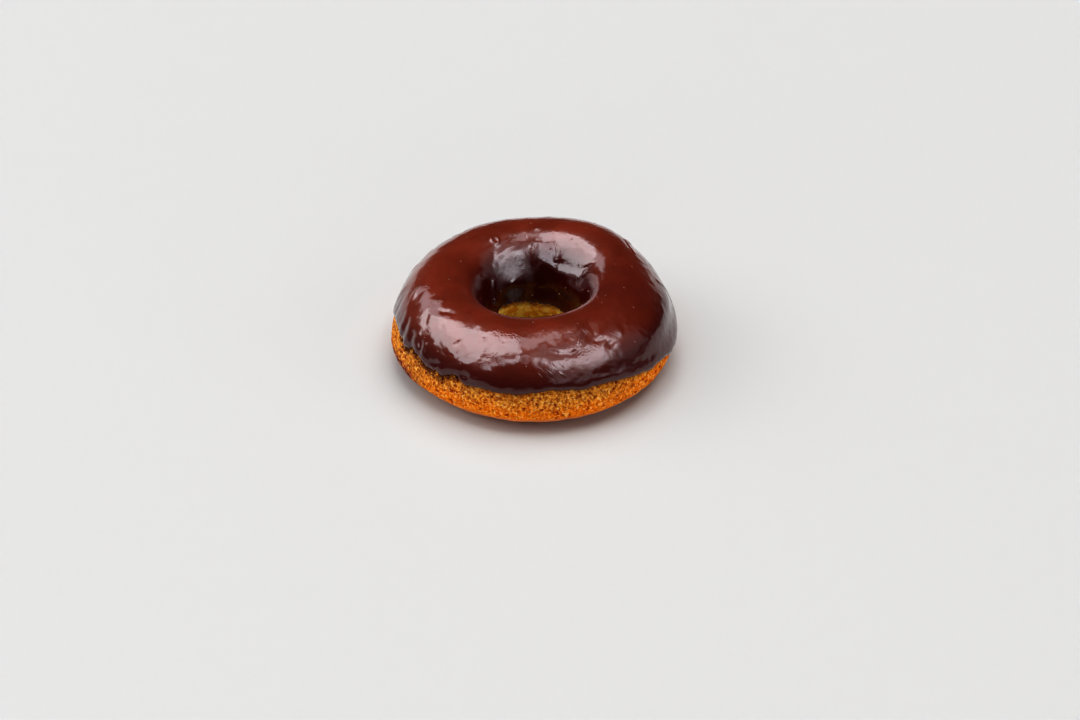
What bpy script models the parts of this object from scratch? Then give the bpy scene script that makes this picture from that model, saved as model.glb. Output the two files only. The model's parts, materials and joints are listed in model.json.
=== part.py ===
"""A ring doughnut baked in a pan, turned out domed side up and dipped in chocolate icing.

The pan shaped the dome and the wide mouth of the hole. The side that rose in the open pan
is underneath: it bulges a little past the dome, and the doughnut rests on a flat ring of it.
The icing is a thin skin over the dome. It ends in an uneven, rounded edge on the outer side
and in another one down in the hole.

Units are metres, with +Z up. The origin is the middle of the hole on the resting surface.
Azimuths are in degrees: 0 is +X, 90 is +Y.
"""

import math

import bmesh
import bpy
import numpy as np
from mathutils import Vector

# The baked ring's section, as (radius, height) points that its outline passes through: from
# the widest part over the dome, down the hole and back under the foot. The foot's points lie
# below the table, and the ring is flat where its outline would go there.
OUTER_RADIUS = 0.0429
CREST_RADIUS = 0.0270
CREST_HEIGHT = 0.0257
NECK_RADIUS = 0.0137
FOOT_DEPTH = -0.0002
DOUGH_SECTION = (
    (OUTER_RADIUS, 0.0070),
    (0.0409, 0.0130),
    (0.0385, 0.0183),
    (0.0348, 0.0227),
    (0.0302, 0.0252),
    (0.0250, 0.0256),
    (0.0205, 0.0236),
    (0.0173, 0.0188),
    (0.0155, 0.0128),
    (0.0142, 0.0074),
    (NECK_RADIUS, 0.0030),
    (0.0166, 0.0005),
    (0.0225, FOOT_DEPTH),
    (0.0285, FOOT_DEPTH),
    (0.0343, 0.0003),
    (0.0400, 0.0024),
)
CREST_SHARE = 4.6 / len(DOUGH_SECTION)
NECK_SHARE = 10 / len(DOUGH_SECTION)

# Where the baked ring is fuller or flatter than a true ring: (azimuth, spread, amount)
OUTER_SWELLS = (
    (198, 24, 0.0005), (234, 18, -0.0006), (352, 22, -0.0003), (45, 30, 0.0005), (100, 30, 0.0004),
)
CREST_RISES = ((60, 25, 0.0016), (112, 26, 0.0005), (355, 24, -0.0002))

# A soft fold where the raised part at the back right steps down to the right: two points of
# its line seen from above, its step, and how wide the step and its fade to the left are
FOLD_START = Vector((0.0215, -0.0020))
FOLD_END = Vector((0.0300, 0.0260))
FOLD_STEP = 0.0010
FOLD_WIDTH = 0.0024
FOLD_REACH = 0.0140
FOLD_FADE = 0.0050

# The icing
ICING_THICKNESS = 0.0009
ICING_GAP = 0.0003
EDGE_ROUNDING = 0.0016

# Height of the icing's edge above the table round the outer side: (azimuth, height)
OUTER_EDGE = (
    (0, 0.0078), (28, 0.0092), (55, 0.0108), (85, 0.0098), (115, 0.0116), (145, 0.0108),
    (168, 0.0112), (182, 0.0122), (197, 0.0138), (210, 0.0133), (224, 0.0122), (238, 0.0129),
    (252, 0.0129), (264, 0.0127), (278, 0.0137), (296, 0.0129), (310, 0.0122), (326, 0.0112),
    (342, 0.0082),
)
# The same down in the hole
HOLE_EDGE = (
    (0, 0.0070), (45, 0.0068), (75, 0.0068), (100, 0.0073), (135, 0.0084), (180, 0.0078),
    (225, 0.0088), (270, 0.0076), (315, 0.0086),
)

# How finely the surfaces are divided
SECTIONS_AROUND = 76
POINTS_ON_DOUGH = 38
ROWS_OF_ICING = 26
ROW_CROWDING = 0.7


def clear_scene():
    for obj in list(bpy.data.objects):
        bpy.data.objects.remove(obj)


def leading_points(points):
    """The points that lead a closed cubic B-spline through the given ones."""
    count = len(points)
    weights = np.zeros((count, count))
    for i in range(count):
        weights[i, i] = 4 / 6
        weights[i, (i + 1) % count] = 1 / 6
        weights[i, i - 1] = 1 / 6
    return np.linalg.solve(weights, np.array(points))


SECTION_LEADS = leading_points(DOUGH_SECTION)


def along_section(share):
    """(radius, height) at this share of the way round the baked ring's section."""
    count = len(SECTION_LEADS)
    first = int(share % 1.0 * count)
    t = share % 1.0 * count - first
    weights = (
        (1 - t) ** 3,
        3 * t**3 - 6 * t**2 + 4,
        -3 * t**3 + 3 * t**2 + 3 * t + 1,
        t**3,
    )
    return sum(w / 6 * SECTION_LEADS[(first - 1 + i) % count] for i, w in enumerate(weights))


def bumps(azimuth, table):
    """The sum of smooth bumps (azimuth, spread, amount) at this azimuth."""
    total = 0.0
    for middle, spread, amount in table:
        away = (azimuth - middle + 180) % 360 - 180
        total += amount * math.exp(-((away / spread) ** 2))
    return total


def round_the_ring(azimuth, table):
    """A smooth closed curve through (azimuth, value) pairs, read at this azimuth."""
    count = len(table)
    after = next((i for i, row in enumerate(table) if row[0] > azimuth), count)
    turns = [divmod(i, count) for i in range(after - 2, after + 2)]
    near = [(table[i][0] + 360 * turn, table[i][1]) for turn, i in turns]
    (a0, v0), (a1, v1), (a2, v2), (a3, v3) = near
    t = (azimuth - a1) / (a2 - a1)
    slope_1 = (v2 - v0) / (a2 - a0) * (a2 - a1)
    slope_2 = (v3 - v1) / (a3 - a1) * (a2 - a1)
    return (
        (2 * t**3 - 3 * t**2 + 1) * v1
        + (t**3 - 2 * t**2 + t) * slope_1
        + (3 * t**2 - 2 * t**3) * v2
        + (t**3 - t**2) * slope_2
    )


def fold_lift(x, y):
    """How far the soft fold lifts the dome here: up to its left, fading out further left."""
    line = FOLD_END - FOLD_START
    across = Vector((-line.y, line.x)).normalized()
    left = (Vector((x, y)) - FOLD_START).dot(across)
    fade = 1 / (1 + math.exp((left - FOLD_REACH) / FOLD_FADE))
    return FOLD_STEP * fade / (1 + math.exp(-4 * left / FOLD_WIDTH))


def dough_point(share, azimuth):
    """A point of the baked ring: share runs round its section, azimuth round the ring."""
    radius, height = along_section(share)
    outward = max((radius - CREST_RADIUS) / (OUTER_RADIUS - CREST_RADIUS), 0.0)
    radius += outward * bumps(azimuth, OUTER_SWELLS)
    x = radius * math.cos(math.radians(azimuth))
    y = radius * math.sin(math.radians(azimuth))
    raised = max(height / CREST_HEIGHT, 0.0) ** 1.5
    height += raised * (bumps(azimuth, CREST_RISES) + fold_lift(x, y))
    return Vector((x, y, max(height, 0.0)))


def outward_normal(share, azimuth):
    """The way out of the dough at a point, from two short steps along its surface."""
    step = 0.002
    turn = 0.2
    along = dough_point(share + step, azimuth) - dough_point(share - step, azimuth)
    around = dough_point(share, azimuth + turn) - dough_point(share, azimuth - turn)
    return around.cross(along).normalized()


def share_at_height(height, low_share, azimuth):
    """Where the section passes this height, between a low place on it and the crest."""
    low, high = low_share, CREST_SHARE
    for _ in range(24):
        middle = (low + high) / 2
        if dough_point(middle, azimuth).z < height:
            low = middle
        else:
            high = middle
    return (low + high) / 2


def azimuth_of(vertex):
    return math.degrees(math.atan2(vertex.co.y, vertex.co.x)) % 360


def spin_ring(section):
    """A closed true ring, spun from a closed section of (radius, height) points. Each vertex
    keeps its number in the section, so that it can be moved to its uneven place."""
    mesh = bmesh.new()
    number = mesh.verts.layers.int.new("number")
    loop = [mesh.verts.new((radius, 0.0, height)) for radius, height in section]
    for i, vertex in enumerate(loop):
        vertex[number] = i
    edges = [mesh.edges.new((loop[i - 1], vertex)) for i, vertex in enumerate(loop)]
    bmesh.ops.spin(
        mesh,
        geom=loop + edges,
        cent=(0, 0, 0),
        axis=(0, 0, 1),
        angle=2 * math.pi,
        steps=SECTIONS_AROUND,
        use_merge=True,
    )
    bmesh.ops.recalc_face_normals(mesh, faces=mesh.faces)
    return mesh, number


def finish(mesh, name, colour, roughness):
    """Makes the object, smooth all over, with its material."""
    data = bpy.data.meshes.new(name)
    mesh.to_mesh(data)
    mesh.free()
    data.shade_smooth()
    obj = bpy.data.objects.new(name, data)
    bpy.context.scene.collection.objects.link(obj)
    give_material(obj, name, colour, roughness)


def give_material(obj, name, colour, roughness):
    material = bpy.data.materials.new(name)
    material.use_nodes = True
    shader = material.node_tree.nodes["Principled BSDF"]
    shader.inputs["Base Color"].default_value = (*colour, 1.0)
    shader.inputs["Roughness"].default_value = roughness
    shader.inputs["Metallic"].default_value = 0.0
    obj.data.materials.append(material)


def baked_ring():
    shares = [point / POINTS_ON_DOUGH for point in range(POINTS_ON_DOUGH)]
    mesh, number = spin_ring([along_section(share) for share in shares])
    for vertex in mesh.verts:
        vertex.co = dough_point(shares[vertex[number]], azimuth_of(vertex))
    finish(mesh, "baked_ring", (0.58, 0.25, 0.04), 0.85)


def icing_rows():
    """How far each row is from the outer edge to the edge in the hole, from 0 to 1. The rows
    crowd towards both edges, which round over."""
    even = [row / ROWS_OF_ICING for row in range(ROWS_OF_ICING + 1)]
    return [way - ROW_CROWDING * math.sin(2 * math.pi * way) / (2 * math.pi) for way in even]


def icing_point(way, on_top, azimuth):
    """A point of the icing's top or of its underside, which keeps a small gap to the dough."""
    start = share_at_height(round_the_ring(azimuth, OUTER_EDGE), 0.0, azimuth)
    end = share_at_height(round_the_ring(azimuth, HOLE_EDGE), NECK_SHARE, azimuth)
    share = start + (end - start) * way
    dough = dough_point(share, azimuth)
    from_edge = min((dough - dough_point(edge, azimuth)).length for edge in (start, end))
    fullness = math.sqrt(1 - max(0.0, 1 - from_edge / EDGE_ROUNDING) ** 2)
    rise = ICING_GAP + (ICING_THICKNESS * fullness if on_top else 0.0)
    return dough + outward_normal(share, azimuth) * rise


def chocolate_icing():
    rows = icing_rows()
    section = [(way, False) for way in rows] + [(way, True) for way in reversed(rows[1:-1])]
    start = [icing_point(way, on_top, 0.0) for way, on_top in section]
    mesh, number = spin_ring([(point.x, point.z) for point in start])
    for vertex in mesh.verts:
        vertex.co = icing_point(*section[vertex[number]], azimuth_of(vertex))
    finish(mesh, "chocolate_icing", (0.09, 0.016, 0.006), 0.22)


def main():
    clear_scene()
    baked_ring()
    chocolate_icing()


main()
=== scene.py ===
# %% [markdown]
# # A baked ring doughnut dipped in chocolate icing
# The real one was baked in a ring pan, turned out with its domed side up, and dipped. So it has
# two surfaces that meet at one uneven line: an open, sandy crumb below and a poured, glossy
# icing above. The frame brings the plain solids of both. They are fixed, and each is replaced
# here by a fine mesh of the same form, because pores and dents are real shapes and not paint.

# %% Load the fixed frame
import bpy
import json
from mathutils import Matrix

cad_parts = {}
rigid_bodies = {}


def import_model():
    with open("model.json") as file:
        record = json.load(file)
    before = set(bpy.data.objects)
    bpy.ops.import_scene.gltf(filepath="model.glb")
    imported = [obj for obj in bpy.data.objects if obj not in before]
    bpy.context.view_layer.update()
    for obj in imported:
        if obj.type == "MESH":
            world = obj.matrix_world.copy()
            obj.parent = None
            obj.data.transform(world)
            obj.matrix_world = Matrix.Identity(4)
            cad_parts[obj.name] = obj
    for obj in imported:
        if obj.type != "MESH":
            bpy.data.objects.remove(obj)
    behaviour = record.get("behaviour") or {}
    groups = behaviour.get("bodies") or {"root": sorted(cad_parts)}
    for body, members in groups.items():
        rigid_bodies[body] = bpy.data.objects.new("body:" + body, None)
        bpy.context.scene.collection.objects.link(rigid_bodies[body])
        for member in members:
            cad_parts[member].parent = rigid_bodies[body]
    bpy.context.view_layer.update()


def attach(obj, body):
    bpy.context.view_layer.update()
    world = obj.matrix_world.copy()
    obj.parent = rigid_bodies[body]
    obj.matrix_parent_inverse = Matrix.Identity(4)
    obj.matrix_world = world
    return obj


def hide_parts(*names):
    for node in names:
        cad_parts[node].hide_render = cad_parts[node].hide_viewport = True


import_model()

# %% Modules and the unit of small sizes
import json
import math

import bpy
import numpy as np
from mathutils import Vector

MM = 0.001
bpy.context.scene.view_settings.view_transform = "Standard"
bpy.context.scene.view_settings.look = "High Contrast"
print("the view's look:", bpy.context.scene.view_settings.look)

# %% [markdown]
# ## Small helpers
# Operators act on whatever is selected, and the frame's solids are selected when they arrive,
# so every step begins with nothing selected. Colours are written as the hex codes a painter
# reads off a screen, and the shaders want them linear, so one function turns them. Materials are
# node trees, and one function adds any node. Two kinds of node have several inputs of one name,
# so theirs are called by number, and the numbers get names here.

# %% Selecting
def select_only(*pieces):
    for other in bpy.context.view_layer.objects:
        other.select_set(False)
    for piece in pieces:
        piece.select_set(True)
        bpy.context.view_layer.objects.active = piece


select_only()
print("selected:", [piece.name for piece in bpy.context.selected_objects])

# %% Colours
def linear(code):
    """The linear RGBA of an sRGB hex code."""
    shares = [int(code[i : i + 2], 16) / 255 for i in (1, 3, 5)]
    curve = [s / 12.92 if s <= 0.04045 else ((s + 0.055) / 1.055) ** 2.4 for s in shares]
    return (*curve, 1.0)


print("a mid grey in linear light:", [round(part, 3) for part in linear("#808080")])

# %% Adding a shader node
def add_node(tree, kind, inputs, output=0, **settings):
    """Adds a node, gives it its settings, fills its inputs with values or with sockets, and
    gives back one of its outputs."""
    node = tree.nodes.new("ShaderNode" + kind)
    for name, value in settings.items():
        setattr(node, name, value)
    for name, value in inputs.items():
        if isinstance(value, bpy.types.NodeSocket):
            tree.links.new(value, node.inputs[name])
        else:
            node.inputs[name].default_value = value
    return node.outputs[output]


# The Mix node for colours, and Map Range as a smooth rise: FROM and TO are where it rises, and
# LOW and HIGH, from 0 to 1 if they aren't given, what it gives there
COLOURS = {"data_type": "RGBA", "output": 2}
SHARE, FIRST, SECOND = 0, 6, 7
SMOOTH = {"interpolation_type": "SMOOTHSTEP"}
FROM, TO, LOW, HIGH = 1, 2, 3, 4
print("inputs of Mix:", (SHARE, FIRST, SECOND), "and of Map Range:", (FROM, TO, LOW, HIGH))

# %% [markdown]
# ## The camera
# The photograph looks down on the doughnut from about 37 degrees, through a longish lens from
# 60 cm away. The camera is placed by that distance and angle, and aimed at the floor a little
# short of the middle of the hole, which puts the doughnut where the photograph has it.

# %% Camera
CAMERA_PLACE = (1.94 * MM, -481.97 * MM, 354.17 * MM)
CAMERA_TILT = 53.3
LENS = 65

select_only()
bpy.ops.object.camera_add(location=CAMERA_PLACE, rotation=(math.radians(CAMERA_TILT), 0, 0))
camera = bpy.context.object
camera.data.lens = LENS
camera.data.sensor_width = 36
camera.data.clip_start = 0.01
bpy.context.scene.camera = camera
print("camera looks down", 90 - CAMERA_TILT, "degrees")

# %% [markdown]
# ## Floor and light
# Soft daylight comes from overhead, from the back right. It shades the hole, the front and the
# floor at the foot, and low fills at the front and the sides open up the bare dough. A wide
# window on the left draws the broad shine on the front left of the icing and on the right of the
# hole's back wall, and it carries on overhead as a skylight. Panes nearer the front draw the
# patch at the front, and cards at the front right draw the band there and the shine on the left
# of the back wall. Panels that overlap add up, so a shine can fade from its middle to its edge.
# Those that would flatten the shade are seen only in the gloss, as small cards held close would
# be. All are soft panels far away, so the floor stays even.

# %% Floor
FLOOR_SIDE = 12.0

select_only()
bpy.ops.mesh.primitive_plane_add(size=FLOOR_SIDE)
floor = bpy.context.object
floor.name = "floor"
# Matt card, which gives a quiet, even ground
pale = bpy.data.materials.new("pale_studio_card")
pale.use_nodes = True
card_shader = pale.node_tree.nodes["Principled BSDF"]
card_shader.inputs["Base Color"].default_value = linear("#BABBBC")
card_shader.inputs["Roughness"].default_value = 0.6
card_shader.inputs["Specular IOR Level"].default_value = 0.2
floor.data.materials.append(pale)
print("floor:", FLOOR_SIDE, "m wide")

# %% Soft panels
PANEL_DISTANCE, PANEL_SPACING = 8.0, 0.1


def soft_panel(name, azimuth, elevation, wide, high, radiance, seen, tint):
    """A far rectangular light: where it stands and how wide and high it looks, in degrees. It
    can be seen in the gloss only, give light only, or do both."""
    across, up = math.radians(azimuth), math.radians(elevation)
    toward = Vector((math.cos(up) * math.cos(across), math.cos(up) * math.sin(across), math.sin(up)))
    turn = (-toward).to_track_quat("-Z", "Y").to_euler()
    distance = PANEL_DISTANCE + PANEL_SPACING * len(bpy.data.lights)
    select_only()
    bpy.ops.object.light_add(type="AREA", location=toward * distance, rotation=turn)
    panel = bpy.context.object
    panel.name = name
    panel.data.shape = "RECTANGLE"
    panel.data.size = 2 * distance * math.tan(math.radians(wide / 2))
    panel.data.size_y = 2 * distance * math.tan(math.radians(high / 2))
    panel.data.energy = radiance * math.pi * panel.data.size * panel.data.size_y
    panel.data.color = linear(tint)[:3]
    panel.visible_diffuse = seen != "gloss"
    panel.visible_glossy = seen != "light"


print("the first panel stands", PANEL_DISTANCE, "m away")

# %% The panels: azimuth, elevation, width, height, radiance, what they do, tint
DAY, WINDOW, CARD = "#FFFDFB", "#F4F6FF", "#F4F7FF"
PANELS = (
    ("daylight", 64, 74, 56, 50, 3.25, "light", DAY),
    ("front_fill", 270, 11, 150, 12, 2.2, "light", DAY),
    ("left_fill", 172, 26, 40, 26, 1.6, "light", DAY),
    ("right_fill", 346, 26, 40, 26, 1.1, "light", DAY),
    ("left_window", 180, 42, 52, 46, 1.4, "both", DAY),
    ("left_window_gloss", 181, 42, 50, 44, 3.0, "gloss", WINDOW),
    ("left_window_top", 185, 51, 42, 20, 1.3, "gloss", WINDOW),
    ("left_window_back", 139, 35, 22, 26, 2.0, "gloss", WINDOW),
    ("skylight", 184, 73, 36, 19, 5.0, "gloss", WINDOW),
    ("skylight_back", 40, 85, 22, 16, 2.2, "gloss", WINDOW),
    ("ceiling", 180, 88, 46, 46, 0.4, "gloss", DAY),
    ("front_pane", 244, 45, 14, 34, 3.7, "gloss", WINDOW),
    ("front_pane_edge", 260, 45, 18, 32, 1.7, "gloss", WINDOW),
    ("low_pane", 230, 34, 14, 14, 3.4, "gloss", WINDOW),
    ("right_upper_card", 318, 59, 50, 22, 0.9, "gloss", CARD),
    ("right_card_edge", 315, 34, 58, 40, 0.8, "gloss", CARD),
    ("right_card", 316, 38, 48, 22, 1.8, "gloss", CARD),
    ("right_card_middle", 318, 41, 38, 15, 2.5, "gloss", CARD),
    ("right_card_low", 326, 25, 24, 10, 1.1, "gloss", CARD),
    ("right_wall", 354, 31, 38, 50, 0.4, "gloss", CARD),
    ("right_card_corner", 298, 34, 16, 14, 1.3, "gloss", CARD),
)
for panel_row in PANELS:
    soft_panel(*panel_row)
print("panels:", len(PANELS))

# %% The dark room
room = bpy.data.worlds.new("dim_room")
bpy.context.scene.world = room
room.use_nodes = True
dim_glow = room.node_tree.nodes["Background"]
dim_glow.inputs["Color"].default_value = linear("#F6F5F4")
dim_glow.inputs["Strength"].default_value = 0.04
print("the room glows at", round(dim_glow.inputs["Strength"].default_value, 2))

# %% [markdown]
# ## The form of the baked ring
# A ring pan gives every cut through the doughnut nearly the same outline: a dome, a funnel down
# into the hole and a flat foot. A closed B-spline through a few points draws that outline. The
# frame's solids were made from the same points, so the fine meshes below lie right on them. A
# place on the ring is then two numbers: its azimuth, and its step along the outline's points.

# %% Section of the ring
OUTER_RADIUS = 42.9 * MM
CREST_RADIUS = 27.0 * MM
CREST_HEIGHT = 25.7 * MM
DOUGH_SECTION = MM * np.array((
    (42.9, 7.0), (40.9, 13.0), (38.5, 18.3), (34.8, 22.7), (30.2, 25.2), (25.0, 25.6),
    (20.5, 23.6), (17.3, 18.8), (15.5, 12.8), (14.2, 7.4), (13.7, 3.0), (16.6, 0.5),
    (22.5, -0.2), (28.5, -0.2), (34.3, 0.3), (40.0, 2.4),
))
POINTS = len(DOUGH_SECTION)
CREST_STEP = 4.6
NECK_STEP = 10.0

follow = np.eye(POINTS) * 4 / 6
for i in range(POINTS):
    follow[i, (i + 1) % POINTS] = follow[i, i - 1] = 1 / 6
SECTION_LEADS = np.linalg.solve(follow, DOUGH_SECTION)


def along_section(step):
    """(radius, height) at each step along the outline."""
    first = np.floor(step).astype(int)
    t = (step - first)[..., None]
    weights = ((1 - t) ** 3, 3 * t**3 - 6 * t**2 + 4, -3 * t**3 + 3 * t**2 + 3 * t + 1, t**3)
    return sum(w / 6 * SECTION_LEADS[(first - 1 + i) % POINTS] for i, w in enumerate(weights))


print("widest, mm:", 1000 * along_section(np.array([0.0]))[0])

# %% Where the ring isn't true
OUTER_SWELLS = (
    (198, 24, 0.5 * MM), (234, 18, -0.6 * MM), (352, 22, -0.3 * MM),
    (45, 30, 0.5 * MM), (100, 30, 0.4 * MM),
)
CREST_RISES = ((60, 25, 1.6 * MM), (112, 26, 0.5 * MM), (355, 24, -0.2 * MM))
FOLD_START = np.array((21.5 * MM, -2.0 * MM))
FOLD_END = np.array((30.0 * MM, 26.0 * MM))
FOLD_STEP, FOLD_WIDTH = 1.0 * MM, 2.4 * MM
FOLD_REACH, FOLD_FADE = 14.0 * MM, 5.0 * MM


def bump(azimuth, middle, spread):
    """1 at the middle azimuth, falling smoothly to 0 on both sides of it."""
    return np.exp(-((((azimuth - middle + 180) % 360 - 180) / spread) ** 2))


def bumps(azimuth, swells):
    """The sum of smooth bumps (azimuth, spread, amount)."""
    return sum(amount * bump(azimuth, middle, spread) for middle, spread, amount in swells)


def fold_lift(x, y):
    """How far the soft fold at the back right lifts the dome."""
    line = FOLD_END - FOLD_START
    left = ((y - FOLD_START[1]) * line[0] - (x - FOLD_START[0]) * line[1]) / np.hypot(*line)
    fade = 1 / (1 + np.exp((left - FOLD_REACH) / FOLD_FADE))
    return FOLD_STEP * fade / (1 + np.exp(-4 * left / FOLD_WIDTH))


def dough_surface(azimuth, step):
    """Points of the baked ring."""
    radius, height = np.moveaxis(along_section(step), -1, 0)
    outward = np.maximum((radius - CREST_RADIUS) / (OUTER_RADIUS - CREST_RADIUS), 0)
    radius = radius + outward * bumps(azimuth, OUTER_SWELLS)
    x, y = radius * np.cos(np.radians(azimuth)), radius * np.sin(np.radians(azimuth))
    raised = np.maximum(height / CREST_HEIGHT, 0) ** 1.5
    height = height + raised * (bumps(azimuth, CREST_RISES) + fold_lift(x, y))
    return np.stack([x, y, np.maximum(height, 0)], axis=-1)


back = dough_surface(np.array([90.0]), np.array([CREST_STEP]))[0]
print("the crest at the back, mm:", (1000 * back).round(1))

# %% Directions on the ring
def unit(vectors):
    return vectors / np.linalg.norm(vectors, axis=-1, keepdims=True)


def directions(azimuth, step):
    """Round the ring, over the dome toward the hole, and out of the dough."""
    turn, pace = 0.2, 0.03
    around = dough_surface(azimuth + turn, step) - dough_surface(azimuth - turn, step)
    over = dough_surface(azimuth, step + pace) - dough_surface(azimuth, step - pace)
    return unit(around), unit(over), unit(np.cross(around, over))


here = np.array([270.0]), np.array([CREST_STEP])
print("out of the dough at the front of the crest:", directions(*here)[2].round(2))

# %% [markdown]
# ## The icing's edge line
# The dipped edge runs round the outer side 7 to 14 mm above the floor, with scallops where the
# icing tore on its way down. The heights are read every few degrees where the photograph
# shows the edge, and the far side carries on in the same manner.

# %% Edge heights
OUTER_EDGE = np.array((
    (0, 7.8), (10, 8.9), (20, 8.3), (28, 9.4), (38, 10.6), (47, 10.1), (55, 10.9), (66, 10.0),
    (78, 9.5), (85, 10.1), (96, 10.5), (106, 11.9), (115, 11.3), (126, 11.6), (137, 10.6),
    (150, 11.1), (160, 10.6), (170, 11.7), (178, 11.3), (185, 13.0), (193, 13.8), (200, 13.7),
    (206, 13.0), (211, 14.2), (216, 13.7), (219, 12.8), (224, 12.7), (228, 12.5), (230, 12.4),
    (233, 13.5), (236, 14.0), (238, 13.9), (240, 12.8), (243, 12.5), (248, 12.95), (253, 12.7),
    (258, 12.75), (264, 12.85), (270, 13.4), (276, 13.9), (281, 13.75), (286, 13.3), (291, 12.8),
    (296, 13.0), (301, 12.8), (307, 12.2), (313, 11.4), (319, 10.7), (324, 9.9), (329, 9.8),
    (335, 9.1), (341, 7.8), (350, 7.3),
))
HOLE_EDGE = np.array((
    (0, 7.0), (20, 7.2), (35, 6.4), (48, 6.2), (60, 6.9), (75, 6.7), (90, 7.0), (100, 7.3),
    (118, 7.9), (135, 8.3), (146, 8.0), (151, 6.8), (157, 7.6), (180, 7.9), (200, 8.2),
    (225, 8.8), (250, 8.1), (270, 7.6), (292, 8.0), (315, 8.6), (340, 7.9),
))


def round_the_ring(azimuth, line):
    """A smooth closed curve through (azimuth, millimetres) pairs, in metres."""
    count = len(line)
    after = np.searchsorted(line[:, 0], azimuth % 360, side="right")
    (a0, v0), (a1, v1), (a2, v2), (a3, v3) = (
        (line[(after + i) % count, 0] + 360 * ((after + i) // count), line[(after + i) % count, 1])
        for i in (-2, -1, 0, 1)
    )
    t = (azimuth % 360 - a1) / (a2 - a1)
    slope_1 = (v2 - v0) / (a2 - a0) * (a2 - a1)
    slope_2 = (v3 - v1) / (a3 - a1) * (a2 - a1)
    return MM * (
        (2 * t**3 - 3 * t**2 + 1) * v1
        + (t**3 - 2 * t**2 + t) * slope_1
        + (3 * t**2 - 2 * t**3) * v2
        + (t**3 - t**2) * slope_2
    )


TORN_MIDDLE = 215


def raggedness(azimuth):
    """The fine unevenness of a torn edge: waves 6, 3 and 2 mm long round the outer side."""
    turn = np.radians(azimuth)
    waves = 0.09 * np.sin(43 * turn + 1) + 0.07 * np.sin(86 * turn) + 0.05 * np.sin(127 * turn + 2)
    torn = bump(azimuth, TORN_MIDDLE, 26)
    return MM * waves * (0.7 + 0.3 * np.sin(5 * turn + 2.5) + 1.2 * torn)


def outer_edge(azimuth):
    return round_the_ring(azimuth, OUTER_EDGE) + raggedness(azimuth)


def hole_edge(azimuth):
    return round_the_ring(azimuth, HOLE_EDGE) + raggedness(azimuth / 2) * 2


def step_at_height(azimuth, height, low_step):
    """The step where the outline passes a height, between a low place on it and the crest."""
    low = np.full_like(azimuth, low_step)
    high = np.full_like(azimuth, CREST_STEP)
    for _ in range(24):
        middle = (low + high) / 2
        under = dough_surface(azimuth, middle)[..., 2] < height
        low, high = np.where(under, middle, low), np.where(under, high, middle)
    return (low + high) / 2


everywhere = np.arange(0.0, 360.0, 1.0)
outer_steps = step_at_height(everywhere, outer_edge(everywhere), 0.0)
print("outer edge at steps", outer_steps.min().round(2), "to", outer_steps.max().round(2))

# %% [markdown]
# ## The crumb, as a mesh
# Baked dough that has risen freely is a sponge with its skin torn open: irregular pores under a
# millimetre wide, with thin golden walls. They could be painted on or bumped, but at the
# outline and in low light only real hollows look right. A torus primitive has the rows and
# columns that a ring needs, so it is the start. Its rows are drawn close together where the
# crumb is bare, and Displace modifiers with cell textures then press the pores in.

# %% Reading and placing a mesh's points
def read_points(piece):
    points = np.empty(3 * len(piece.data.vertices), np.float32)
    piece.data.vertices.foreach_get("co", points)
    return points.reshape(-1, 3).astype(float)


def place_points(piece, points):
    piece.data.vertices.foreach_set("co", points.astype(np.float32).ravel())
    piece.data.update()


print("corners of the floor:", len(read_points(floor)))

# %% A ring of rows and columns
FINER = 2


def add_ring(name, columns, rows):
    """A plain ring with the column and the row of each of its points. The rows count up the
    outer side and over the top to the hole."""
    select_only()
    bpy.ops.mesh.primitive_torus_add(
        major_segments=columns // 2**FINER,
        minor_segments=rows // 2**FINER,
        major_radius=CREST_RADIUS,
        minor_radius=CREST_HEIGHT / 2,
    )
    ring = bpy.context.object
    ring.name = ring.data.name = name
    bpy.ops.object.modifier_add(type="SUBSURF")
    finer = ring.modifiers[-1]
    finer.subdivision_type = "SIMPLE"
    finer.levels = finer.render_levels = FINER
    bpy.ops.object.modifier_apply(modifier=finer.name)
    bpy.ops.object.shade_smooth()
    x, y, z = read_points(ring).T
    turn = np.arctan2(y, x) / (2 * math.pi)
    climb = np.arctan2(z, np.hypot(x, y) - CREST_RADIUS) / (2 * math.pi)
    column = np.round(turn * columns).astype(int) % columns
    row = np.round(climb * rows).astype(int) % rows
    return ring, column, row


# %% The crumb ring's rows
CRUMB_COLUMNS = 920
CRUMB_STRETCHES = (
    (13.7, 15.0, 14), (15.0, 17.5, 58), (17.5, 24.3, 10), (24.3, 26.0, 15), (26.0, 28.0, 8),
    (28.0, 29.7, 3),
)
crumb_steps = np.concatenate(
    [np.linspace(start, end, rows, endpoint=False) for start, end, rows in CRUMB_STRETCHES]
)
crumb, column, row = add_ring("crumb_ring", CRUMB_COLUMNS, len(crumb_steps))
crumb_azimuth, crumb_step = column * 360 / CRUMB_COLUMNS, crumb_steps[row]
crumb_base = dough_surface(crumb_azimuth, crumb_step)
place_points(crumb, crumb_base)
print("crumb ring:", len(crumb.data.vertices), "points in", len(crumb_steps), "rows")

# %% How open the crumb is
def smooth(value, start, end):
    """0 before start, 1 after end, smooth between. Start may be above end."""
    t = np.clip((value - start) / (end - start), 0, 1)
    return t * t * (3 - 2 * t)


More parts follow.
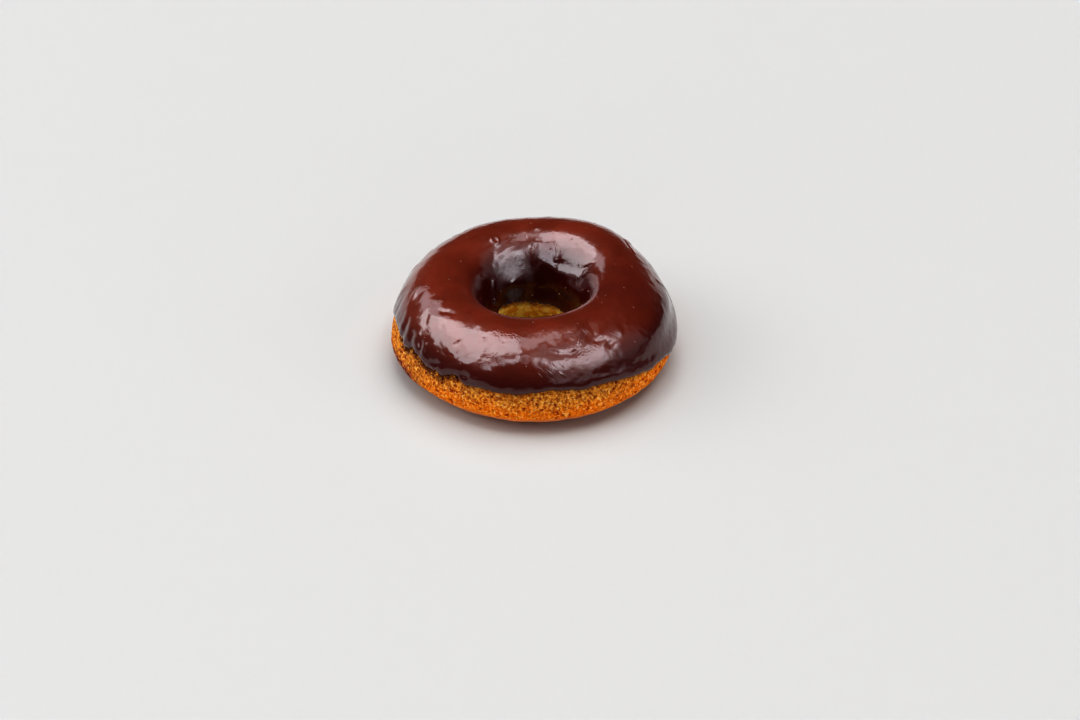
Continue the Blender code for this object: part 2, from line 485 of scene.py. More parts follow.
crumb_height = crumb_base[:, 2]
crumb_radius = np.hypot(crumb_base[:, 0], crumb_base[:, 1])
on_outer_side = crumb_radius > CREST_RADIUS
edge_above = np.where(on_outer_side, outer_edge(crumb_azimuth), hole_edge(crumb_azimuth))
below_icing = edge_above - crumb_height
bare = smooth(below_icing, -1.2 * MM, -0.3 * MM)
low_skin = smooth(crumb_height, 1.0 * MM, 6.0 * MM)
off_the_floor = smooth(crumb_height, 0.05 * MM, 0.8 * MM)
openness = bare * np.where(on_outer_side, 0.25 + 0.75 * low_skin, 0.2) * off_the_floor
print("points on bare crumb:", int((bare > 0.5).sum()), "of", len(bare))

# %% Weights
WEIGHT_LEVELS = 25


def weigh(piece, name, weights):
    """A vertex group with these weights, in a few levels."""
    group = piece.vertex_groups.new(name=name)
    levels = np.round(np.clip(weights, 0, 1) * WEIGHT_LEVELS).astype(int)
    for level in range(1, WEIGHT_LEVELS + 1):
        group.add(np.nonzero(levels == level)[0].tolist(), level / WEIGHT_LEVELS, "REPLACE")


weigh(crumb, "open_crumb", openness)
weigh(crumb, "bare", bare * off_the_floor)
print("groups:", [group.name for group in crumb.vertex_groups])

# %% Displacement, and the pores
def displace(piece, kind, size, strength, group, middle=0.5, full_at=None):
    """Moves the surface by a solid texture. With full_at the texture reaches its height there,
    so with the height as the middle only its lower places are pressed in, as pores."""
    texture = bpy.data.textures.new(piece.name + "_" + kind.lower(), kind)
    texture.noise_scale = size
    if full_at:
        texture.use_color_ramp = True
        texture.color_ramp.elements[1].position = full_at
    select_only(piece)
    bpy.ops.object.modifier_add(type="DISPLACE")
    modifier = piece.modifiers[-1]
    modifier.texture = texture
    modifier.texture_coords = "LOCAL"
    modifier.strength = strength
    modifier.mid_level = middle
    modifier.vertex_group = group
    bpy.ops.object.modifier_apply(modifier=modifier.name)


displace(crumb, "CLOUDS", 5.0 * MM, 0.5 * MM, "bare")
crumb_even = read_points(crumb)
displace(crumb, "VORONOI", 1.7 * MM, 0.34 * MM, "open_crumb", middle=1.0, full_at=0.38)
displace(crumb, "CLOUDS", 0.7 * MM, 0.55 * MM, "open_crumb", middle=1.0, full_at=0.44)
displace(crumb, "CLOUDS", 0.6 * MM, 0.20 * MM, "bare")

# %% Fuller places, a flat foot, and what the pores did
# The hole's wall is fuller at its heel at the back, where it turns under to the foot, and all
# round just under the icing
FULLER = 1.1 * MM
HEEL_STEP, HEEL_SPREAD = 26.9, 0.55
HEEL_AZIMUTH, HEEL_TURN = 90, 50
WALL_BELOW, WALL_SPREAD = 1.6 * MM, 1.3 * MM

crumb_points = read_points(crumb)
crumb_out = directions(crumb_azimuth, crumb_step)[2]
swell = np.exp(-(((crumb_step - HEEL_STEP) / HEEL_SPREAD) ** 2))
swell *= bump(crumb_azimuth, HEEL_AZIMUTH, HEEL_TURN)
swell += np.exp(-(((below_icing - WALL_BELOW) / WALL_SPREAD) ** 2)) * ~on_outer_side
crumb_even += crumb_out * (FULLER * swell)[:, None]
crumb_points += crumb_out * (FULLER * swell)[:, None]
crumb_points[:, 2] = np.maximum(crumb_points[:, 2], 0)
place_points(crumb, crumb_points)
sunk = -((crumb_points - crumb_even) * crumb_out).sum(axis=1)
print("pores are up to", (1000 * sunk.max()).round(2), "mm deep")

# %% Numbers that the crumb's material reads
def keep_attribute(piece, name, values):
    """Stores a number for each point, which the material reads."""
    attribute = piece.data.attributes.new(name, "FLOAT", "POINT")
    attribute.data.foreach_set("value", values.astype(np.float32))


keep_attribute(crumb, "sunk", sunk / MM)
print("points sunk by 0.1 mm or more:", int((sunk > 0.1 * MM).sum()), "of", len(sunk))

# %% Browning: more toward the foot and on the right; less on the left, which is painted light. Then hole and foot rim
BROWN_FROM, BROWN_TO = 12.0 * MM, 5.5 * MM
RIM_FROM, RIM_TO = 5.2 * MM, 4.0 * MM

browning_and_painted_light = smooth(crumb_height, BROWN_FROM, BROWN_TO)
# Painted light: the left side is browned less, so it comes out more golden
browning_and_painted_light += 0.30 * bump(crumb_azimuth, 335, 22) - 0.32 * bump(crumb_azimuth, 200, 26)
browning_and_painted_light = np.where(on_outer_side, np.clip(browning_and_painted_light, 0, 1), 0)
keep_attribute(crumb, "browning_and_painted_light", browning_and_painted_light)
keep_attribute(crumb, "in_the_hole", 1.0 - on_outer_side)
keep_attribute(crumb, "rim", smooth(crumb_height, RIM_FROM, RIM_TO) * on_outer_side)
print("points more than half browned:", int((browning_and_painted_light > 0.5).sum()), "of", len(browning_and_painted_light))

# %% Icing stains close under its edge, and a dark baked patch low on the left
SCORCH_MIDDLE, SCORCH_TURN = 202, 11
SCORCH_HEIGHT, SCORCH_REACH = 5.2 * MM, 2.1 * MM

scorch = 3.2 * bump(crumb_azimuth, SCORCH_MIDDLE, SCORCH_TURN)
scorch *= np.exp(-(((crumb_height - SCORCH_HEIGHT) / SCORCH_REACH) ** 2))
torn_share = bump(crumb_azimuth, TORN_MIDDLE, 24)
stain = (0.25 + 0.75 * torn_share) * smooth(below_icing, (0.8 + 2.4 * torn_share) * MM, 0.3 * MM)
keep_attribute(crumb, "stained", stain * on_outer_side)
keep_attribute(crumb, "scorched", np.clip(scorch, 0, 1) * on_outer_side)
print("numbers kept:", [kept.name for kept in crumb.data.attributes if kept.data_type == "FLOAT"])

# %% [markdown]
# ## The crumb's finish
# Cake doughnut dough, baked: matt, a little oily, olive-gold where the crumb is open under the
# icing, deep orange where it took colour near the floor, paler at the rim of the foot, and
# yellow in the hole, where it took none; there it is also made brighter, which is painted light.
# On the left it is made more golden, which is painted light too. The walls of the pores carry
# painted light and shade in fine random patches, and painted glints. The colour darkens with
# how far each point is sunk, partly the crumb's own darker brown and partly painted shade, and
# two patterns of cells paint more pores between, dark in the same way, with sharper edges than
# the mesh could give them. Icing stains the crumb under its edge, most of all where that tore.
# Light passes a little way into crumb, and a small amount of subsurface scattering gives that
# softness.

# %% A material, and what the crumb's colours follow
def new_material(name):
    material = bpy.data.materials.new(name)
    material.use_nodes = True
    return material, material.node_tree, material.node_tree.nodes["Principled BSDF"]


crumb_material, tree, shader = new_material("baked_cake_crumb")
place = add_node(tree, "TexCoord", {}, output="Object")
sunk_share, browning_and_light_share, in_the_hole, rim_share, stained, scorched = (
    add_node(tree, "Attribute", {}, output="Fac", attribute_name=name)
    for name in ("sunk", "browning_and_painted_light", "in_the_hole", "rim", "stained", "scorched")
)
# Sizes in millimetres and detail: patches, grain, painted glints, patches in the hole, blots
patches, grain, painted_glint_noise, hole_patches, blots = (
    add_node(tree, "TexNoise", {"Vector": place, "Scale": 1 / (size * MM), "Detail": detail})
    for size, detail in ((6, 3.0), (0.7, 3.0), (0.9, 1.0), (2.4, 2.0), (1.3, 2.0))
)
patch_tint = add_node(
    tree, "MapRange", {"Value": patches, FROM: 0.3, TO: 0.7, LOW: -0.2, HIGH: 0.2}, **SMOOTH
)
crust_share = add_node(
    tree, "Math", {0: browning_and_light_share, 1: patch_tint}, operation="ADD", use_clamp=True
)
print("nodes so far:", len(tree.nodes))

# %% Painted light and shade on the walls, from their open colour to their browned one, then painted shade in the pores and painted glints
# Painted light and shade: a shaded and a lit copy of the wall colour, mixed in fine random patches
shaded_walls = add_node(
    tree, "Mix", {SHARE: crust_share, FIRST: linear("#A85E0E"), SECOND: linear("#D66402")}, **COLOURS
)
lit_walls = add_node(
    tree, "Mix", {SHARE: crust_share, FIRST: linear("#E29C38"), SECOND: linear("#EE901C")}, **COLOURS
)
lit = add_node(tree, "MapRange", {"Value": grain, FROM: 0.38, TO: 0.64}, **SMOOTH)
colour = add_node(tree, "Mix", {SHARE: lit, FIRST: shaded_walls, SECOND: lit_walls}, **COLOURS)
# Painted shade: the colour darkens with how far each point is sunk into a pore, partly the crumb's own
# darker brown
sunk_shade = add_node(tree, "MapRange", {"Value": sunk_share, FROM: 0.05, TO: 0.34, HIGH: 0.85}, **SMOOTH)
colour = add_node(tree, "Mix", {SHARE: sunk_shade, FIRST: colour, SECOND: linear("#7C3406")}, **COLOURS)
# Painted glints: small pale spots that stand for the oily crumb catching the light
painted_glint_share = add_node(tree, "MapRange", {"Value": painted_glint_noise, FROM: 0.56, TO: 0.70, HIGH: 0.7}, **SMOOTH)
colour = add_node(tree, "Mix", {SHARE: painted_glint_share, FIRST: colour, SECOND: linear("#F2C26A")}, **COLOURS)
print("nodes so far:", len(tree.nodes))

# %% Painted pores, dark with painted shade: cells 1.1 and 2.6 mm wide, with warped outlines
warp = add_node(
    tree, "TexNoise", {"Vector": place, "Scale": 1 / (0.8 * MM), "Detail": 1.0}, output="Color"
)
warped = add_node(
    tree, "VectorMath", {0: warp, 1: (0.9 * MM,) * 3, 2: place}, operation="MULTIPLY_ADD"
)
small_cells, large_cells = (
    add_node(tree, "TexVoronoi", {"Vector": warped, "Scale": 1 / (size * MM)}, output="Distance")
    for size in (1.1, 2.6)
)
widest_pore = add_node(
    tree, "MapRange", {"Value": crust_share, FROM: 0.1, TO: 1.0, LOW: 0.60, HIGH: 0.34}, **SMOOTH
)
pores = add_node(tree, "MapRange", {"Value": small_cells, FROM: widest_pore, TO: 0.08}, **SMOOTH)
large_pores = add_node(
    tree, "MapRange", {"Value": large_cells, FROM: 0.12, TO: 0.27, LOW: 1.0, HIGH: 0.0}, **SMOOTH
)
patchy = add_node(tree, "MapRange", {"Value": patches, FROM: 0.36, TO: 0.6, LOW: 0.7}, **SMOOTH)
off_the_hole = add_node(tree, "MapRange", {"Value": in_the_hole, LOW: 1.0, HIGH: 0.2}, **SMOOTH)
fewer_low = add_node(
    tree, "MapRange", {"Value": browning_and_light_share, FROM: 0.5, LOW: 1.0, HIGH: 0.45}, **SMOOTH
)
for thinning in (patchy, off_the_hole, fewer_low):
    pores = add_node(tree, "Math", {0: pores, 1: thinning}, operation="MULTIPLY")
large_pores = add_node(tree, "Math", {0: large_pores, 1: off_the_hole}, operation="MULTIPLY")
pores = add_node(tree, "Math", {0: pores, 1: large_pores}, operation="MAXIMUM")
# Painted shade: the pores' dark brown stands for the shade in their hollows, partly the crumb's own
# darker brown
pore_shade_colour = add_node(
    tree, "Mix", {SHARE: crust_share, FIRST: linear("#782A04"), SECOND: linear("#983204")}, **COLOURS
)
colour = add_node(tree, "Mix", {SHARE: pores, FIRST: colour, SECOND: pore_shade_colour}, **COLOURS)
print("nodes so far:", len(tree.nodes))

# %% In the hole, where the yellow is made brighter with painted light, at the foot's rim, and where icing or heat stained the crumb
yellow = add_node(tree, "MapRange", {"Value": hole_patches, FROM: 0.38, TO: 0.60}, **SMOOTH)
# Painted light: the unbrowned yellow of the hole is made brighter than the light in the hole gives
hole_colour_with_painted_light = add_node(
    tree, "Mix", {SHARE: yellow, FIRST: linear("#E09826"), SECOND: linear("#FFD660")}, **COLOURS
)
hole_share = add_node(tree, "MapRange", {"Value": in_the_hole, HIGH: 0.92}, **SMOOTH)
colour = add_node(tree, "Mix", {SHARE: hole_share, FIRST: colour, SECOND: hole_colour_with_painted_light}, **COLOURS)
pale_rim = add_node(tree, "MapRange", {"Value": rim_share, HIGH: 0.65}, **SMOOTH)
colour = add_node(tree, "Mix", {SHARE: pale_rim, FIRST: colour, SECOND: linear("#D0805A")}, **COLOURS)
blotted = add_node(tree, "MapRange", {"Value": blots, FROM: 0.32, TO: 0.50}, **SMOOTH)
for marked, brown in ((stained, "#4E200C"), (scorched, "#58262C")):
    blot = add_node(tree, "Math", {0: marked, 1: blotted}, operation="MULTIPLY")
    colour = add_node(tree, "Mix", {SHARE: blot, FIRST: colour, SECOND: linear(brown)}, **COLOURS)
tree.links.new(colour, shader.inputs["Base Color"])
print("nodes so far:", len(tree.nodes))

# %% The crumb's sheen, softness and relief
shader.inputs["Roughness"].default_value = 0.78
shader.inputs["IOR"].default_value = 1.45
shader.inputs["Specular IOR Level"].default_value = 0.15
shader.inputs["Subsurface Weight"].default_value = 0.15
shader.inputs["Subsurface Radius"].default_value = (1.0, 0.45, 0.15)
shader.inputs["Subsurface Scale"].default_value = 0.8 * MM
crumb_relief = add_node(tree, "Math", {0: pores, 1: -0.7, 2: grain}, operation="MULTIPLY_ADD")
relief = add_node(
    tree, "Bump", {"Height": crumb_relief, "Strength": 0.8, "Distance": 0.13 * MM}
)
tree.links.new(relief, shader.inputs["Normal"])
crumb.data.materials.append(crumb_material)
print("nodes of the crumb:", len(tree.nodes))

# %% Put the crumb in the frame
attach(crumb, "root")
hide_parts("baked_ring")
print(crumb.name, "stands for baked_ring")

# %% [markdown]
# ## The icing, as a mesh
# Warm icing flows over the dome, pools a little above its lower edge and sets with a rounded
# lip. As a mesh it is a second torus. Its top rows follow the dough at the icing's thickness,
# and its last rows return just under the dough's surface, so that no gap shows at the edge.

# %% Rows of the icing
ICING_COLUMNS = 620
ICING_TOP = 1.2 * MM
EDGE_ROUNDING = 1.3 * MM
HOLE_ROUNDING = 0.6 * MM
LIP_ROWS, MIDDLE_ROWS, UNDER_ROWS = 9, 132, 10
LIP_WAY = 0.03
UNDER = -0.15 * MM

top_ways = np.concatenate([
    np.linspace(0, LIP_WAY, LIP_ROWS, endpoint=False),
    np.linspace(LIP_WAY, 1 - LIP_WAY, MIDDLE_ROWS, endpoint=False),
    np.linspace(1 - LIP_WAY, 1, LIP_ROWS, endpoint=True),
])
under_ways = np.linspace(1, 0, UNDER_ROWS + 2)[1:-1]
icing_ways = np.concatenate([top_ways, under_ways])
icing, column, row = add_ring("icing_shell", ICING_COLUMNS, len(icing_ways))
icing_azimuth, icing_way = column * 360 / ICING_COLUMNS, icing_ways[row]
start_step = step_at_height(icing_azimuth, outer_edge(icing_azimuth), 0.0)
end_step = step_at_height(icing_azimuth, hole_edge(icing_azimuth), NECK_STEP)
icing_step = start_step + (end_step - start_step) * icing_way
icing_base = dough_surface(icing_azimuth, icing_step)
icing_out = directions(icing_azimuth, icing_step)[2]
to_outer = np.linalg.norm(icing_base - dough_surface(icing_azimuth, start_step), axis=1)
to_hole = np.linalg.norm(icing_base - dough_surface(icing_azimuth, end_step), axis=1)
from_edge = np.minimum(to_outer, to_hole)
is_top = row < len(top_ways)
rounding = np.where(to_hole < to_outer, HOLE_ROUNDING, EDGE_ROUNDING)
fullness = np.sqrt(1 - np.maximum(0, 1 - from_edge / rounding) ** 2)
print("icing shell:", len(icing.data.vertices), "points in", len(icing_ways), "rows")

# %% [markdown]
# ## Dents, ridges and drips
# Set icing keeps everything that happened to it: bubbles that burst, dents from a finger or a
# rack, ridges where it draped over the crumb, and drips in the hole. Each is a small smooth
# shape on the surface, so it is listed once with its place and real size in millimetres, and
# one function for each kind of shape adds them up as a height above the even icing.

# %% Spots: azimuth, step, half length, half width, turn in degrees, height
SPOTS = (
    (34.0, 7.6, 6.5, 3.4, 0, 1.40),
    (48.0, 6.1, 9.0, 3.0, 0, -0.35),
    (117.0, 7.75, 6.0, 4.2, 0, 1.60),
    (350.0, 1.8, 14.0, 3.2, 0, 0.50),
    (350.0, 3.1, 14.0, 4.0, 0, -0.40),
    (247.0, 1.75, 6.0, 3.2, 0, 0.40),
    (233.2, 2.78, 1.3, 0.5, 49, -0.26),
    (209.5, 2.92, 2.0, 0.9, 137, -0.24),
    (222.0, 2.95, 1.6, 0.9, 110, -0.14),
    (216.5, 3.88, 3.0, 1.0, 26, -0.30),
    (188.0, 3.12, 1.8, 0.7, 127, 0.26),
    (192.5, 3.05, 2.2, 0.9, 110, -0.22),
    (250.0, 3.80, 0.9, 0.7, 0, -0.10),
    (254.8, 3.52, 0.9, 0.7, 30, -0.10),
    (250.5, 2.75, 2.2, 1.4, 90, -0.10),
    (263.0, 2.75, 6.0, 4.0, 0, 0.80),
    (290.0, 3.25, 8.0, 4.2, 0, -0.50),
    (288.5, 3.58, 1.4, 1.0, 0, -0.32),
    (292.5, 3.40, 2.2, 0.7, 60, 0.20),
    (296.4, 3.12, 1.5, 1.3, 0, 0.30),
    (289.2, 2.84, 0.9, 0.7, 0, -0.28),
    (281.4, 3.14, 1.7, 1.1, 160, 0.20),
    (276.0, 3.20, 2.0, 1.2, 0, -0.14),
    (307.2, 2.74, 1.2, 1.0, 0, -0.40),
    (304.2, 3.36, 1.5, 1.0, 0, 0.30),
    (315.0, 3.02, 1.4, 1.0, 90, 0.26),
    (312.0, 2.58, 1.8, 1.0, 0, 0.20),
    (87.0, 5.06, 1.1, 0.9, 0, 0.26),
    (91.5, 6.18, 0.9, 0.6, 30, -0.26),
    (66.0, 6.78, 0.9, 0.7, 0, 0.18),
    (28.0, 6.34, 1.8, 0.6, 54, -0.46),
    (24.5, 6.62, 1.8, 0.6, 54, 0.26),
    (56.8, 5.68, 0.9, 0.8, 0, -0.12),
    (52.2, 5.84, 0.9, 0.7, 0, -0.12),
    (118.5, 7.64, 1.2, 0.5, 20, 0.22),
    (155.5, 6.82, 1.1, 0.9, 90, 0.32),
    (150.0, 8.16, 0.8, 0.8, 0, 0.42),
    (225.5, 1.36, 2.2, 0.9, 20, -0.32),
    (240.5, 1.40, 1.6, 0.9, 0, -0.30),
    (246.0, 1.40, 1.6, 0.9, 0, 0.20),
    (284.5, 2.56, 0.30, 0.30, 0, -0.16),
    (294.2, 2.36, 0.30, 0.30, 0, -0.16),
    (300.0, 2.88, 0.30, 0.30, 0, -0.16),
    (286.5, 2.05, 0.30, 0.30, 0, -0.14),
    (344.8, 0.98, 0.30, 0.30, 0, -0.16),
    (150.0, 2.60, 3.0, 1.6, 20, 0.20),
    (130.0, 3.10, 2.0, 1.0, 60, -0.22),
    (68.0, 2.20, 2.6, 1.2, 150, 0.22),
    (20.0, 2.40, 1.6, 0.8, 30, -0.26),
)
print("spots:", len(SPOTS))

# %% Lines: (azimuth, step) places, half width, height
LINES = (
    (((302.0, 4.35), (302.5, 3.75), (301.0, 3.10)), 0.40, -0.07),
    (((301.0, 3.10), (306.5, 3.05)), 0.60, -0.14),
    (((276.5, 2.96), (282.0, 2.80), (288.5, 2.74)), 0.80, -0.24),
    (((70.6, 6.00), (67.4, 6.45)), 0.60, -0.12),
    (((137.0, 6.50), (125.0, 6.00), (112.0, 5.75), (98.0, 5.60)), 1.20, -0.16),
    (((128.0, 6.60), (115.0, 6.20), (104.0, 6.05)), 0.90, -0.10),
    (((143.0, 7.25), (147.0, 7.60), (150.0, 8.10)), 0.60, 0.36),
    (((78.0, 6.95), (62.0, 7.25), (52.0, 7.20), (42.0, 7.10), (34.0, 7.00)), 1.60, 0.45),
    (((36.8, 3.20), (30.0, 3.30), (24.5, 3.40)), 0.50, 0.24),
    (((349.0, 5.56), (338.8, 4.44)), 0.30, -0.10),
    (((196.5, 2.20), (197.5, 1.80), (199.0, 1.20)), 1.10, 0.20),
    (((204.0, 2.00), (204.5, 1.70), (205.5, 1.10)), 1.00, 0.22),
    (((211.5, 2.10), (212.0, 1.80), (213.5, 1.30)), 1.00, 0.14),
    (((217.5, 1.90), (218.5, 1.20)), 0.90, 0.20),
    (((200.5, 2.10), (202.0, 1.30)), 0.90, -0.18),
    (((208.0, 1.90), (209.5, 1.40)), 0.90, -0.20),
    (((215.0, 1.90), (216.0, 1.40)), 0.70, -0.18),
    (((176.0, 2.20), (178.0, 1.20)), 1.20, 0.18),
    (((184.0, 2.20), (186.0, 1.40)), 1.10, -0.16),
    (((160.0, 2.40), (163.0, 1.20)), 1.00, 0.24),
    (((122.0, 2.40), (124.0, 1.20)), 1.00, 0.26),
    (((92.0, 2.60), (95.0, 1.20)), 1.00, 0.24),
    (((40.0, 2.30), (42.0, 1.10)), 1.00, 0.26),
    (((8.0, 2.40), (9.0, 1.00)), 0.90, 0.24),
)
print("lines:", len(LINES))

# %% A sharp crease in the hole's back wall: (azimuth, step) places, reach, height
CREASES = (
    (((72.0, 5.50), (69.8, 6.20), (64.0, 6.90)), 4.0, -0.45),
)
print("creases:", len(CREASES))

# %% Burst bubbles: azimuth, step, radius, half width of the rim, height
BUBBLES = (
    (121.8, 5.46, 1.05, 0.45, 0.34),
    (206.0, 4.16, 0.60, 0.30, 0.08),
    (209.8, 4.44, 0.50, 0.30, 0.07),
    (300.0, 2.95, 0.55, 0.28, 0.12),
    (37.0, 2.90, 0.80, 0.35, 0.18),
)
print("burst bubbles:", len(BUBBLES))

# %% Add the shapes up
def one_place(azimuth, step):
    """A place on the ring, with its three directions."""
    where = np.array([float(azimuth)]), np.array([float(step)])
    return dough_surface(*where)[0], [way[0] for way in directions(*where)]


def spot_height(points, azimuth, step, length, width, turn, height):
    middle, (around, over, _) = one_place(azimuth, step)
    cosine, sine = math.cos(math.radians(turn)), math.sin(math.radians(turn))
    across = (points - middle) @ (around * cosine + over * sine) / (length * MM)
    aside = (points - middle) @ (over * cosine - around * sine) / (width * MM)
    near = np.linalg.norm(points - middle, axis=1) < 4 * max(length, width) * MM
    return near * height * MM * np.exp(-(across**2) - aside**2)


def way_to_line(points, places):
    """How far each point is from a line through these places."""
    corners = [one_place(*place)[0] for place in places]
    nearest = np.full(len(points), np.inf)
    for start, end in zip(corners, corners[1:]):
        share = np.clip((points - start) @ (end - start) / ((end - start) @ (end - start)), 0, 1)
        aside = np.linalg.norm(points - start - share[:, None] * (end - start), axis=1)
        nearest = np.minimum(nearest, aside)
    return nearest / MM


def line_height(points, places, width, height):
    return height * MM * np.exp(-((way_to_line(points, places) / width) ** 2))


def crease_height(points, places, reach, height):
    return height * MM * np.exp(-way_to_line(points, places) / reach)


def bubble_height(points, azimuth, step, radius, width, height):
    middle, _ = one_place(azimuth, step)
    away = np.linalg.norm(points - middle, axis=1) / MM
    rim = np.exp(-(((away - radius) / width) ** 2))
    inside = 0.35 * np.exp(-((away / radius) ** 2))
    return height * MM * (rim + inside)


relief_height = np.zeros(len(icing_base))
for spot in SPOTS:
    relief_height += spot_height(icing_base, *spot)
for line in LINES:
    relief_height += line_height(icing_base, *line)
for crease in CREASES:
    relief_height += crease_height(icing_base, *crease)
for bubble in BUBBLES:
    relief_height += bubble_height(icing_base, *bubble)
print("relief, mm:", (1000 * relief_height.min()).round(2), (1000 * relief_height.max()).round(2))

# %% Pooling above both edges, and the surface itself
POOL_HEIGHT, POOL_AT, POOL_WIDTH = 0.16 * MM, 2.2 * MM, 1.5 * MM
HOLE_POOL_HEIGHT, HOLE_POOL_REACH = 0.4 * MM, 6 * MM
LEAST_HEIGHT = 0.2 * MM

pool = POOL_HEIGHT * np.exp(-(((to_outer - POOL_AT) / POOL_WIDTH) ** 2))
pool += HOLE_POOL_HEIGHT * smooth(to_hole, HOLE_POOL_REACH, 0)
rise_of_top = (ICING_TOP + pool + relief_height) * fullness
rise_of_top = np.maximum(rise_of_top, np.where(from_edge > EDGE_ROUNDING, LEAST_HEIGHT, UNDER / 2))
height_above = np.where(is_top, rise_of_top, UNDER)
place_points(icing, icing_base + icing_out * height_above[:, None])
print("most above the plain dough, mm:", (1000 * height_above.max()).round(2))

# %% A gentle unevenness, which calms down past the crest
calm = 1 - 0.65 * smooth(icing_step, CREST_STEP, CREST_STEP + 1)
away_from_edge = is_top * smooth(from_edge, 0.3 * MM, 3 * MM)
weigh(icing, "top", away_from_edge)
weigh(icing, "uneven_top", away_from_edge * calm)
displace(icing, "CLOUDS", 11 * MM, 0.34 * MM, "uneven_top")
displace(icing, "CLOUDS", 4 * MM, 0.17 * MM, "uneven_top")
displace(icing, "CLOUDS", 2 * MM, 0.06 * MM, "top")
print("highest point of the icing, mm:", (1000 * read_points(icing)[:, 2].max()).round(1))

# %% Scuffs: azimuth, step, half length, half width, turn in degrees, strength
SCUFFS = (
    (245.2, 3.38, 1.3, 0.8, 0, 0.7),
    (250.5, 3.90, 2.8, 1.7, 0, 1.0),
    (259.0, 3.85, 4.5, 1.5, 0, 1.0),
    (252.2, 2.72, 2.4, 1.5, 0, 0.7),
    (279.0, 2.10, 5.5, 2.0, 0, 0.5),
    (292.0, 2.90, 8.0, 5.0, 0, 0.6),
    (313.0, 3.00, 5.0, 4.0, 0, 0.6),
    (189.0, 3.70, 2.5, 2.0, 0, 0.9),
    (205.0, 4.00, 3.0, 1.6, 20, 0.8),
    (5.0, 6.80, 6.0, 4.0, 0, 0.5),
    (345.0, 7.20, 5.0, 4.0, 0, 0.5),
    (100.0, 2.90, 6.0, 3.0, 0, 0.5),
)
scuffed = np.zeros(len(icing_base))
for scuff_row in SCUFFS:
    scuffed = np.maximum(scuffed, spot_height(icing_base, *scuff_row) / MM)
keep_attribute(icing, "scuffed", scuffed)
print("scuffed places:", len(SCUFFS))

# %% Drag marks, in the same terms
DRAGS = ((279.0, 2.05, 4.5, 2.2, 0, 1.0), (299.0, 3.90, 3.0, 2.0, 0, 0.6))
dragged = np.maximum(*(spot_height(icing_base, *drag_row) for drag_row in DRAGS))
keep_attribute(icing, "dragged", dragged / MM)
print("drag marks:", len(DRAGS))

# %% Painted shade on the icing: darker low on the dome, most of all on the right, and down in the hole
painted_icing_shade = smooth(icing_base[:, 2], 23 * MM, 15 * MM)
painted_icing_shade += 0.5 * bump(icing_azimuth, 352, 40)
painted_icing_shade = np.maximum(np.clip(painted_icing_shade, 0, 1), smooth(icing_step, 5.5, 7.0))
keep_attribute(icing, "painted_icing_shade", painted_icing_shade)
print("points more than half pooled:", int((painted_icing_shade > 0.5).sum()), "of", len(painted_icing_shade))

# %% [markdown]
# ## The icing's finish
# Chocolate icing, poured warm and set in air: a dark red-brown, with painted shade that darkens
# it low on the dome, on the right and down in the hole, and a clear gloss that is a little hazy,
# because sugar crystals roughen the skin. Its refraction is that of fat and sugar, about 1.5. A
# coat carries the clear gloss, and the base under it has a wide, weak one. Scuffed patches are
# duller and gritty, and short drag lines mark two places.

# %% The icing's material and colour
icing_material, tree, shader = new_material("set_chocolate_icing")
place = add_node(tree, "TexCoord", {}, output="Object")
scuff_share, drag_share, icing_shade_share = (
    add_node(tree, "Attribute", {}, output="Fac", attribute_name=name)
    for name in ("scuffed", "dragged", "painted_icing_shade")
)
# Sizes in millimetres and detail: clouds, haze, stipple and grit. Sugar crystals are a tenth as
# wide as the last two, which are drawn as coarse as they need to show.
clouds, haze, stipple, grit = (
    add_node(tree, "TexNoise", {"Vector": place, "Scale": 1 / (size * MM), "Detail": detail})
    for size, detail in ((9, 2.0), (3.5, 4.0), (0.7, 3.0), (0.6, 1.0))
)
cloudy = add_node(tree, "MapRange", {"Value": clouds, FROM: 0.35, TO: 0.65}, **SMOOTH)
colour = add_node(
    tree, "Mix", {SHARE: cloudy, FIRST: linear("#602413"), SECOND: linear("#6C2A18")}, **COLOURS
)
# Painted shade: darker low on the dome, on the right and down in the hole
colour = add_node(
    tree, "Mix", {SHARE: icing_shade_share, FIRST: colour, SECOND: linear("#3E0A05")}, **COLOURS
)
tree.links.new(colour, shader.inputs["Base Color"])
print("nodes so far:", len(tree.nodes))

# %% The clear coat over a hazy base
hazy = add_node(tree, "MapRange", {"Value": haze, FROM: 0.3, TO: 0.7, LOW: 0.08, HIGH: 0.15}, **SMOOTH)
scuff_haze = add_node(tree, "MapRange", {"Value": scuff_share, HIGH: 0.08}, **SMOOTH)
dullness = add_node(tree, "Math", {0: hazy, 1: scuff_haze}, operation="ADD")
tree.links.new(dullness, shader.inputs["Coat Roughness"])
shader.inputs["Coat Weight"].default_value = 1.0
shader.inputs["Coat IOR"].default_value = 1.5
shader.inputs["Roughness"].default_value = 0.28
shader.inputs["IOR"].default_value = 1.5
shader.inputs["Specular IOR Level"].default_value = 0.15
print("nodes so far:", len(tree.nodes))

# %% Drag lines: a pattern stretched along the way in which the icing was dragged
DRAG = Vector((0.70, -0.40, -0.60)).normalized()
DRAG_SQUASH = -0.92

